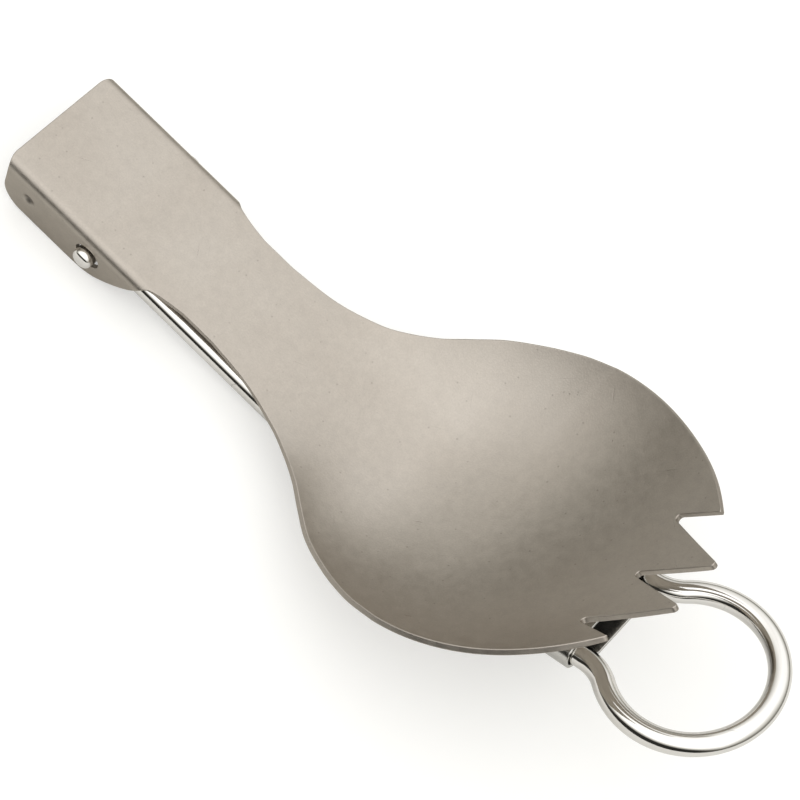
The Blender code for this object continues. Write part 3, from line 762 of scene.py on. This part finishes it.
def own_space(tree):
    return tree.nodes.new("ShaderNodeTexCoord").outputs["Object"]


def noise(tree, place, scale, detail=2.0):
    made = tree.nodes.new("ShaderNodeTexNoise")
    made.inputs["Detail"].default_value = detail
    tree.links.new(place, made.inputs["Vector"])
    if isinstance(scale, (int, float)):
        made.inputs["Scale"].default_value = scale
    else:
        tree.links.new(scale, made.inputs["Scale"])
    return made.outputs["Fac"]


def spread(tree, value, low, high, to_low=0.0, to_high=1.0):
    """A value taken from one range to another, and kept inside it."""
    made = tree.nodes.new("ShaderNodeMapRange")
    for socket, number in zip(("From Min", "From Max", "To Min", "To Max"), (low, high, to_low, to_high)):
        made.inputs[socket].default_value = number
    tree.links.new(value, made.inputs["Value"])
    return made.outputs["Result"]


def sums(tree, operation, first, second=0.0):
    made = tree.nodes.new("ShaderNodeMath")
    made.operation = operation
    for socket, value in zip(made.inputs, (first, second)):
        if isinstance(value, (int, float)):
            socket.default_value = value
        else:
            tree.links.new(value, socket)
    return made.outputs["Value"]


# %% Dots and scratches
SCRATCH_CELLS_PER_METRE = (170, 3600, 60)
SCRATCHES_FROM, SCRATCHES_TO = 0.970, 0.975


def dots(tree, place, per_metre, inner, outer):
    """Round dots, one to a cell: 1 inside the inner radius and 0 outside the outer one."""
    cells = tree.nodes.new("ShaderNodeTexVoronoi")
    cells.inputs["Scale"].default_value = per_metre
    tree.links.new(place, cells.inputs["Vector"])
    return spread(tree, cells.outputs["Distance"], inner, outer, 1.0, 0.0), cells.outputs["Color"]


def scratches(tree, place, turn):
    """Dots drawn out into short thin lines, a few in a hundred of them kept."""
    drawn = tree.nodes.new("ShaderNodeMapping")
    drawn.vector_type = "TEXTURE"
    drawn.inputs["Rotation"].default_value = (0.0, 0.0, turn)
    drawn.inputs["Scale"].default_value = tuple(1 / cells for cells in SCRATCH_CELLS_PER_METRE)
    tree.links.new(place, drawn.inputs["Vector"])
    lines, chance = dots(tree, drawn.outputs["Vector"], 1.0, 0.10, 0.24)
    split = tree.nodes.new("ShaderNodeSeparateXYZ")
    tree.links.new(chance, split.inputs["Vector"])
    return sums(tree, "MULTIPLY", lines, spread(tree, split.outputs["X"], SCRATCHES_FROM, SCRATCHES_TO))


print("a scratch's cell, mm:", [round(1000 / cells, 2) for cells in SCRATCH_CELLS_PER_METRE])

# %% The two groups
MOTTLE_PER_METRE, BLOTCHES_PER_METRE, SPECKS_PER_METRE = 900.0, 90.0, 650.0
SCRATCH_TURNS = (0.5, 2.2)


def fine_grain_group():
    """Grain is the beads' marks, Mottle their uneven depth, Blotches the cloudy change over the sheet."""
    tree, given, result = group_with("fine_grain", (("Grains per metre", 4000.0),),
                                     ("Grain", "Mottle", "Blotches", "Specks", "Scratches"))
    place = own_space(tree)
    tree.links.new(noise(tree, place, given.outputs["Grains per metre"], 3.0), result.inputs["Grain"])
    tree.links.new(noise(tree, place, MOTTLE_PER_METRE, 2.5), result.inputs["Mottle"])
    tree.links.new(noise(tree, place, BLOTCHES_PER_METRE, 3.0), result.inputs["Blotches"])
    tree.links.new(dots(tree, place, SPECKS_PER_METRE, 0.04, 0.10)[0], result.inputs["Specks"])
    both = sums(tree, "MAXIMUM", *(scratches(tree, place, turn) for turn in SCRATCH_TURNS))
    tree.links.new(both, result.inputs["Scratches"])
    return tree


def rubbed_edge_group():
    """1 on sharp outer edges, broken up so that the rubbing isn't even."""
    tree, given, result = group_with("rubbed_edges", (("Unevenness per metre", 600.0),), ("Rubbed",))
    pointed = tree.nodes.new("ShaderNodeNewGeometry").outputs["Pointiness"]
    edge = spread(tree, pointed, 0.52, 0.60)
    uneven = noise(tree, own_space(tree), given.outputs["Unevenness per metre"])
    uneven = spread(tree, uneven, 0.3, 0.7, 0.4, 1.0)
    tree.links.new(sums(tree, "MULTIPLY", edge, uneven), result.inputs["Rubbed"])
    return tree


fine_grain = fine_grain_group()
rubbed_edges = rubbed_edge_group()
print("groups:", fine_grain.name, rubbed_edges.name)


# %% Metals and colours
def placed(tree, group, **values):
    """A group set down in a material, with its own values."""
    node = tree.nodes.new("ShaderNodeGroup")
    node.node_tree = group
    for label, value in values.items():
        node.inputs[label.replace("_", " ")].default_value = value
    return node.outputs


def new_metal(name):
    material = bpy.data.materials.new(name)
    material.use_nodes = True
    shader = material.node_tree.nodes["Principled BSDF"]
    shader.inputs["Metallic"].default_value = 1.0
    return material, material.node_tree, shader


def tint(tree, value, dark, light):
    """A colour between two others, by a value from 0 to 1."""
    made = tree.nodes.new("ShaderNodeMix")
    made.data_type = "RGBA"
    made.inputs["A"].default_value = (*dark, 1.0)
    made.inputs["B"].default_value = (*light, 1.0)
    tree.links.new(value, made.inputs["Factor"])
    return made.outputs["Result"]


def shaded(tree, colour, amount, dark, light):
    """A colour made darker or lighter all over by an amount from 0 to 1."""
    made = tree.nodes.new("ShaderNodeMix")
    made.data_type = "RGBA"
    made.blend_type = "MULTIPLY"
    made.inputs["Factor"].default_value = 1.0
    tree.links.new(colour, made.inputs["A"])
    tree.links.new(tint(tree, amount, (dark,) * 3, (light,) * 3), made.inputs["B"])
    return made.outputs["Result"]


def bumped(tree, shader, height, depth):
    made = tree.nodes.new("ShaderNodeBump")
    made.inputs["Distance"].default_value = depth
    tree.links.new(height, made.inputs["Height"])
    tree.links.new(made.outputs["Normal"], shader.inputs["Normal"])


# %% [markdown]
# The head is titanium sheet, blasted with glass beads after it was stamped. That leaves a warm grey, even
# matt skin whose grain is just finer than the eye can count. A plain grey metal with some roughness comes
# close from afar. What makes it blasted is that colour, roughness and height all follow the same grain,
# and that a few specks and scratches break it. The bottoms of the dimples get painted shade, a darker
# colour.

# %% Blasted titanium
TITANIUM_DARK, TITANIUM_LIGHT = (0.412, 0.372, 0.324), (0.438, 0.400, 0.352)
TITANIUM_GLANCING = (0.70, 0.68, 0.65, 1.0)
TITANIUM_ROUGH, TITANIUM_RUBBED = (0.37, 0.43), 0.12
TITANIUM_GRAIN_DEPTH = 0.000014
# Painted shade in the dimples: how dark it is, and the distances from a dimple's middle over which it fades
DIMPLE_SHADE_DARK, DIMPLE_SHADE_INNER, DIMPLE_SHADE_OUTER = 0.45, 0.0005, 0.0009


def painted_dimple_shade(tree):
    """1 at the bottom of either dimple, where shade is painted into the colour, and 0 outside it."""
    split = tree.nodes.new("ShaderNodeSeparateXYZ")
    mirrored = tree.nodes.new("ShaderNodeCombineXYZ")
    away = tree.nodes.new("ShaderNodeVectorMath")
    away.operation = "DISTANCE"
    tree.links.new(own_space(tree), split.inputs["Vector"])
    tree.links.new(split.outputs["X"], mirrored.inputs["X"])
    tree.links.new(sums(tree, "ABSOLUTE", split.outputs["Y"]), mirrored.inputs["Y"])
    tree.links.new(split.outputs["Z"], mirrored.inputs["Z"])
    tree.links.new(mirrored.outputs["Vector"], away.inputs[0])
    away.inputs[1].default_value = shank_frame @ Vector(
        (DIMPLE_ALONG, SHANK_WIDTH / 2 - DIMPLE_PRESS, -DIMPLE_DEPTH))
    return spread(tree, away.outputs["Value"], DIMPLE_SHADE_INNER, DIMPLE_SHADE_OUTER, 1.0, 0.0)


def blasted_titanium():
    material, tree, shader = new_metal("blasted_titanium")
    marks = placed(tree, fine_grain, Grains_per_metre=5200.0)
    rubbed = placed(tree, rubbed_edges)["Rubbed"]
    colour = tint(tree, spread(tree, marks["Blotches"], 0.3, 0.7), TITANIUM_DARK, TITANIUM_LIGHT)
    colour = shaded(tree, colour, spread(tree, marks["Grain"], 0.25, 0.75), 0.94, 1.06)
    colour = shaded(tree, colour, spread(tree, marks["Mottle"], 0.3, 0.7), 0.955, 1.045)
    marked = sums(tree, "MAXIMUM", marks["Specks"], sums(tree, "MULTIPLY", marks["Scratches"], 0.6))
    colour = shaded(tree, colour, marked, 1.0, 0.80)
    # Painted shade: the colour is darkened at the bottom of each dimple
    colour = shaded(tree, colour, painted_dimple_shade(tree), 1.0, DIMPLE_SHADE_DARK)
    tree.links.new(colour, shader.inputs["Base Color"])
    rough = spread(tree, marks["Mottle"], 0.3, 0.7, *TITANIUM_ROUGH)
    worn = sums(tree, "MULTIPLY", sums(tree, "MAXIMUM", rubbed, marks["Scratches"]), TITANIUM_RUBBED)
    tree.links.new(sums(tree, "SUBTRACT", rough, worn), shader.inputs["Roughness"])
    depth = sums(tree, "SUBTRACT", marks["Grain"], sums(tree, "MULTIPLY", marked, 0.6))
    bumped(tree, shader, depth, TITANIUM_GRAIN_DEPTH)
    shader.inputs["Specular Tint"].default_value = TITANIUM_GLANCING
    return material


sheet_piece.data.materials.append(blasted_titanium())
print("head's finish:", sheet_piece.data.materials[0].name)

# %% [markdown]
# The wire is stainless steel, polished nearly to a mirror, so it has hardly a colour of its own and shows
# the room round it. A perfect mirror would look like glass, though. A little unevenness in the roughness
# and a few scratches tell the eye that it is steel that lives in a pocket.

# %% Polished wire
POLISHED_DARK, POLISHED_LIGHT = (0.75, 0.73, 0.69), (0.82, 0.80, 0.77)
POLISHED_ROUGH, POLISHED_SCRATCHED, POLISHED_GRAIN_DEPTH = (0.05, 0.10), 0.15, 0.000003


def polished_wire():
    material, tree, shader = new_metal("polished_wire")
    marks = placed(tree, fine_grain, Grains_per_metre=1500.0)
    colour = tint(tree, spread(tree, marks["Blotches"], 0.3, 0.7), POLISHED_DARK, POLISHED_LIGHT)
    colour = shaded(tree, colour, marks["Scratches"], 1.0, 0.8)
    tree.links.new(colour, shader.inputs["Base Color"])
    worn = sums(tree, "MULTIPLY", marks["Scratches"], POLISHED_SCRATCHED)
    rough = spread(tree, marks["Grain"], 0.3, 0.7, *POLISHED_ROUGH)
    tree.links.new(sums(tree, "ADD", rough, worn), shader.inputs["Roughness"])
    bumped(tree, shader, marks["Grain"], POLISHED_GRAIN_DEPTH)
    return material


wire.data.materials.append(polished_wire())
print("wire's finish:", wire.data.materials[0].name)

# %% [markdown]
# The sleeve is bent from rolled sheet and was never polished, so it is a little darker and blurs what it
# mirrors. It uses the same grain as the other two with a finish between theirs, because a third way of
# working the metal would make this small piece look foreign.

# %% Sleeve sheet
ROLLED_DARK, ROLLED_LIGHT = (0.54, 0.53, 0.50), (0.64, 0.63, 0.60)
ROLLED_ROUGH, ROLLED_GRAIN_DEPTH = (0.16, 0.24), 0.000005


def sleeve_sheet():
    material, tree, shader = new_metal("sleeve_sheet")
    marks = placed(tree, fine_grain, Grains_per_metre=3000.0)
    colour = tint(tree, spread(tree, marks["Blotches"], 0.3, 0.7), ROLLED_DARK, ROLLED_LIGHT)
    tree.links.new(shaded(tree, colour, marks["Scratches"], 1.0, 0.8), shader.inputs["Base Color"])
    tree.links.new(spread(tree, marks["Grain"], 0.3, 0.7, *ROLLED_ROUGH), shader.inputs["Roughness"])
    bumped(tree, shader, marks["Grain"], ROLLED_GRAIN_DEPTH)
    return material


sleeve.data.materials.append(sleeve_sheet())
print("sleeve's finish:", sleeve.data.materials[0].name)

# %% [markdown]
# The spork lies on white card. A card painted plain white would throw too much light up at the flanges
# and the wire, so the card is pale grey and glows a little for the camera, which makes it white there and
# keeps the shadow. Metal sees a weaker glow, as the matt titanium in the photograph shows the card as
# light grey. Beyond the shank's end, out of the picture, the card falls by a few millimetres: the head
# stays where it lies when the handle opens, and the ring would otherwise dip into the card.

# %% Floor
FLOOR_HALF = 0.16
FALL, FALL_START, FALL_LENGTH, FALL_ROWS = 0.0042, 0.058, 0.040, 25
CARD_COLOUR = (0.63, 0.625, 0.60, 1.0)
GLOW_FOR_CAMERA, GLOW_FOR_METAL = 0.41, 0.12


def card_material():
    material = bpy.data.materials.new("white_card")
    material.use_nodes = True
    tree = material.node_tree
    shader = tree.nodes["Principled BSDF"]
    shader.inputs["Base Color"].default_value = CARD_COLOUR
    shader.inputs["Roughness"].default_value = 0.9
    shader.inputs["Specular IOR Level"].default_value = 0.1
    shader.inputs["Emission Color"].default_value = (1.0, 1.0, 1.0, 1.0)
    ray = tree.nodes.new("ShaderNodeLightPath")
    in_metal = sums(tree, "MAXIMUM", ray.outputs["Is Glossy Ray"], ray.outputs["Is Transmission Ray"])
    glow = sums(tree, "MAXIMUM", sums(tree, "MULTIPLY", ray.outputs["Is Camera Ray"], GLOW_FOR_CAMERA),
                sums(tree, "MULTIPLY", in_metal, GLOW_FOR_METAL))
    tree.links.new(glow, shader.inputs["Emission Strength"])
    return material


def add_floor():
    """White card, flat under the folded spork, falling a little beyond the shank's end."""
    mesh = bpy.data.meshes.new("floor")
    falling = np.linspace(-FALL_START - FALL_LENGTH, -FALL_START, FALL_ROWS)
    along = np.concatenate(([-FLOOR_HALF], falling, [FLOOR_HALF]))
    height = -FALL * ease((-along - FALL_START) / FALL_LENGTH)
    points = [(x, across, z) for x, z in zip(along, height) for across in (-FLOOR_HALF, FLOOR_HALF)]
    strips = [(2 * i, 2 * i + 2, 2 * i + 3, 2 * i + 1) for i in range(len(along) - 1)]
    mesh.from_pydata(points, [], strips)
    mesh.shade_smooth()
    mesh.materials.append(card_material())
    floor = bpy.data.objects.new("floor", mesh)
    bpy.context.scene.collection.objects.link(floor)
    return floor


floor = add_floor()
print("card, mm:", [round(1000 * size) for size in floor.dimensions[:2]])

# %% [markdown]
# Polished wire shows the room that it lies in: here one wide soft light overhead, a pale far wall, and
# the dark side that the photograph was taken from. Area lamps and dark boards could be set up to do this.
# A world whose brightness follows the direction is simpler and stays the same as the spork is turned.
# Stops on three ramps say, from the near side at 0 to the far side at 1, how bright the room is low down,
# how high up the light starts, and how high up it is full. The background is white for the camera alone,
# because white all round in the wire would wash its dark lines out.

# %% Room
LOW_LIGHT = ((0.14, 0.03), (0.34, 0.20), (0.6, 0.24), (0.8, 0.22))
LIGHT_START = ((0.0, 0.42), (0.12, 0.34), (0.28, 0.05), (0.5, 0.05), (0.85, 0.0))
LIGHT_FULL = ((0.0, 0.75), (0.12, 0.68), (0.30, 0.50), (0.5, 0.74), (0.76, 0.78), (0.92, 0.52))
OVERHEAD_FROM, OVERHEAD_TO, NEARER_MORE = 1.26, 1.48, 1.10
LOW_COLOUR = (1.0, 0.98, 0.88)


def ramp(tree, value, stops):
    """A value looked up on a line through a few stops, each a place from 0 to 1 and the value there."""
    made = tree.nodes.new("ShaderNodeValToRGB")
    points = made.color_ramp.elements
    while len(points) < len(stops):
        points.new(0.5)
    for point, (place, level) in zip(points, stops):
        point.position, point.color = place, (level, level, level, 1.0)
    tree.links.new(value, made.inputs["Fac"])
    return made.outputs["Color"]


def add_room():
    """One wide soft light overhead, a pale far wall and a dark near side, all as a world."""
    world = bpy.data.worlds.new("studio")
    bpy.context.scene.world = world
    world.use_nodes = True
    tree = world.node_tree
    background = tree.nodes["Background"]
    way = tree.nodes.new("ShaderNodeSeparateXYZ")
    tree.links.new(tree.nodes.new("ShaderNodeTexCoord").outputs["Generated"], way.inputs["Vector"])
    side = spread(tree, way.outputs["Y"], -1.0, 1.0)
    low, start, full = (ramp(tree, side, stops) for stops in (LOW_LIGHT, LIGHT_START, LIGHT_FULL))
    overhead = sums(tree, "MULTIPLY",
                    spread(tree, way.outputs["Z"], 0.6, 1.0, OVERHEAD_FROM, OVERHEAD_TO),
                    spread(tree, side, 0.45, 0.75, NEARER_MORE, 1.0))
    share = sums(tree, "DIVIDE", sums(tree, "SUBTRACT", way.outputs["Z"], start),
                 sums(tree, "SUBTRACT", full, start))
    share = sums(tree, "MINIMUM", sums(tree, "MAXIMUM", share, 0.0), 1.0)
    lit = sums(tree, "ADD", low, sums(tree, "MULTIPLY", share, sums(tree, "SUBTRACT", overhead, low)))
    seen = tree.nodes.new("ShaderNodeLightPath").outputs["Is Camera Ray"]
    tree.links.new(sums(tree, "MAXIMUM", lit, seen), background.inputs["Strength"])
    plain_white = sums(tree, "MAXIMUM", share, seen)
    tree.links.new(tint(tree, plain_white, LOW_COLOUR, (1.0, 1.0, 1.0)), background.inputs["Color"])
    return world


print("room:", add_room().name)

# %% [markdown]
# The Standard view shows colours as they are written. A filmic view would turn the white card grey.

# %% View
bpy.context.scene.view_settings.view_transform = "Standard"
